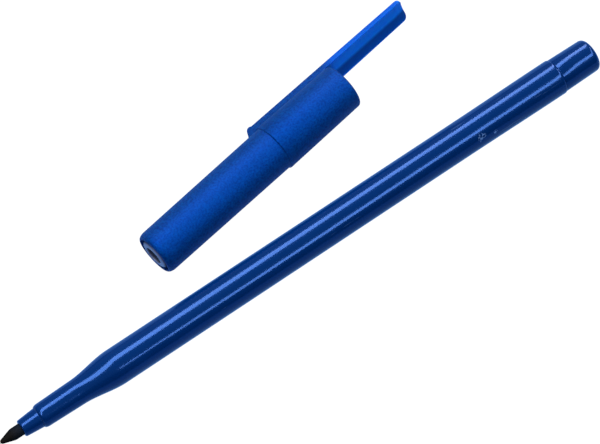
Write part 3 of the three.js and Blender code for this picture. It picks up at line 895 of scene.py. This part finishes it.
# %% The reservoir and its film
soaked_fibre, tree = start_material("soaked_polyester_fibre")
place = add_node(tree, "ShaderNodeTexCoord").outputs["Object"]
along_pen = add_node(tree, "ShaderNodeMapping", values={"Scale": (0.05, 1, 1)},
                     links={"Vector": place}).outputs["Vector"]
strands = add_node(tree, "ShaderNodeTexNoise", values={"Scale": 3000, "Detail": 3},
                   links={"Vector": along_pen}).outputs["Fac"]
tint = add_node(tree, "ShaderNodeMix", {"data_type": "RGBA"},
                {"A": linear("#0c0f22"), "B": linear("#232a4a")}, {"Factor": strands})
surface = add_node(
    tree, "ShaderNodeBsdfPrincipled", values={"IOR": 1.5, "Roughness": 0.8},
    links={"Base Color": tint.outputs["Result"]},
)
add_node(tree, "ShaderNodeOutputMaterial", links={"Surface": surface.outputs["BSDF"]})
dress(soaked_fibre, frame["nodes"]["ink_reservoir"])

clear_film, tree = start_material("clear_polyester_film")
place = add_node(tree, "ShaderNodeTexCoord").outputs["Object"]
creases = add_node(tree, "ShaderNodeTexNoise", values={"Scale": 500, "Detail": 2},
                   links={"Vector": place}).outputs["Fac"]
creased = add_node(tree, "ShaderNodeBump", values={"Strength": 0.2, "Distance": 0.05 * MM},
                   links={"Height": creases}).outputs["Normal"]
surface = add_node(
    tree, "ShaderNodeBsdfPrincipled",
    values={"Base Color": linear("#d8e0ea"), "IOR": 1.6, "Roughness": 0.12,
            "Transmission Weight": 0.8},
    links={"Normal": creased},
)
add_node(tree, "ShaderNodeOutputMaterial", links={"Surface": surface.outputs["BSDF"]})
dress(clear_film, frame["nodes"]["reservoir_wrap"])

# %% [markdown]
# Table and light
#
# The object lies on a plain white table that is exposed until it is pure white, as for a
# catalogue. Such a table is a light too: it shines up into the rims of the round pieces.
# Beside a blue object it shines blue, and dimmer than it looks from above. So it has three
# strengths, for what the camera sees, for what gloss mirrors and for what is matt.
#
# Two long softboxes stand askew above the pen, and each draws one clean line down the
# glossy barrel. The left one reaches past the point. The right one begins where the barrel
# widens, because the nose shows one line only. They show only in gloss, so they can be as
# narrow as their lines are. A soft main light from the far side and a pale ceiling do the
# rest. Gloss sees a third of the ceiling, or it would wash out the blue.

# %% The table
FLOOR_SIZE = 6
select_only()
bpy.ops.mesh.primitive_plane_add(size=FLOOR_SIZE, location=(0, 0, 0))
table_top = bpy.context.object
table_top.name = "table_top"
white_board, tree = start_material("overexposed_white_board")
rays = add_node(tree, "ShaderNodeLightPath").outputs
cast = add_node(tree, "ShaderNodeMix", {"data_type": "RGBA"},
                {"A": (0.16, 0.46, 1.0, 1), "B": (0.1, 0.22, 0.28, 1)},
                {"Factor": rays["Is Diffuse Ray"]})
glow = add_node(tree, "ShaderNodeMix", {"data_type": "RGBA"}, {"B": (1, 1, 1, 1)},
                {"A": cast.outputs["Result"], "Factor": rays["Is Camera Ray"]})
surface = add_node(tree, "ShaderNodeBsdfPrincipled",
                   values={"Base Color": linear("#505050"), "Roughness": 0.9,
                           "Specular IOR Level": 0.1, "Emission Strength": 1.0},
                   links={"Emission Color": glow.outputs["Result"]})
add_node(tree, "ShaderNodeOutputMaterial", links={"Surface": surface.outputs["BSDF"]})
dress(white_board, table_top)


# %% Helpers for lights
def aim(direction):
    """A rotation that makes a light shine from that direction towards the object."""
    return Vector(direction).normalized().to_track_quat("Z", "X").to_euler()


def softbox(name, start, end, width, power):
    """A long light from one point to another, in metres, that shows only in gloss."""
    start, end = Vector(start), Vector(end)
    centre = (start + end) / 2
    lengthwise = (end - start).normalized()
    across = centre.normalized().cross(lengthwise).normalized()
    turn = Matrix((lengthwise, across, lengthwise.cross(across))).transposed().to_euler()
    bpy.ops.object.light_add(type="AREA", location=centre, rotation=turn)
    light = bpy.context.object
    light.name = name
    light.data.shape = "RECTANGLE"
    light.data.size = (end - start).length
    light.data.size_y = width
    light.data.energy = power
    light.visible_diffuse = False
    print(f"{name}: {light.data.size:.2f} by {width} m")


# %% The lights
bpy.ops.object.light_add(type="SUN", rotation=aim((0.2, 0.5, 0.84)))
main_light = bpy.context.object
main_light.name = "main_light"
main_light.data.energy = 1.5
main_light.data.angle = math.radians(40)
main_light.visible_glossy = False

softbox("left_softbox", (-0.5, -0.17, 0.7), (1.2, 1.41, 0.7), 0.25, 27.0)
softbox("right_softbox", (0.12, -0.67, 0.7), (1.2, 0.48, 0.7), 0.18, 13.0)

world = bpy.data.worlds.new("studio")
bpy.context.scene.world = world
world.use_nodes = True
tree = world.node_tree
tree.nodes.clear()
towards = add_node(tree, "ShaderNodeTexCoord").outputs["Generated"]
overhead = add_node(tree, "ShaderNodeVectorMath", {"operation": "DOT_PRODUCT"},
                    {1: (0.2, 0.26, 0.945)}, {0: towards}).outputs["Value"]
ceiling = add_node(tree, "ShaderNodeMapRange",
                   values={"From Min": 0.35, "From Max": 0.47, "To Min": 0.07, "To Max": 0.9},
                   links={"Value": overhead}).outputs["Result"]
rays = add_node(tree, "ShaderNodeLightPath").outputs
mirrored = add_node(tree, "ShaderNodeMapRange", values={"To Min": 1.0, "To Max": 0.33},
                    links={"Value": rays["Is Glossy Ray"]}).outputs["Result"]
dimmed = add_node(tree, "ShaderNodeMath", {"operation": "MULTIPLY"},
                  links={0: ceiling, 1: mirrored}).outputs["Value"]
air = add_node(tree, "ShaderNodeMix", values={"B": 1.0},
               links={"A": dimmed, "Factor": rays["Is Camera Ray"]})
sky = add_node(tree, "ShaderNodeBackground", values={"Color": (1, 1, 1, 1)},
               links={"Strength": air.outputs["Result"]})
add_node(tree, "ShaderNodeOutputWorld", links={"Surface": sky.outputs["Background"]})
bpy.context.scene.view_settings.view_transform = "Standard"
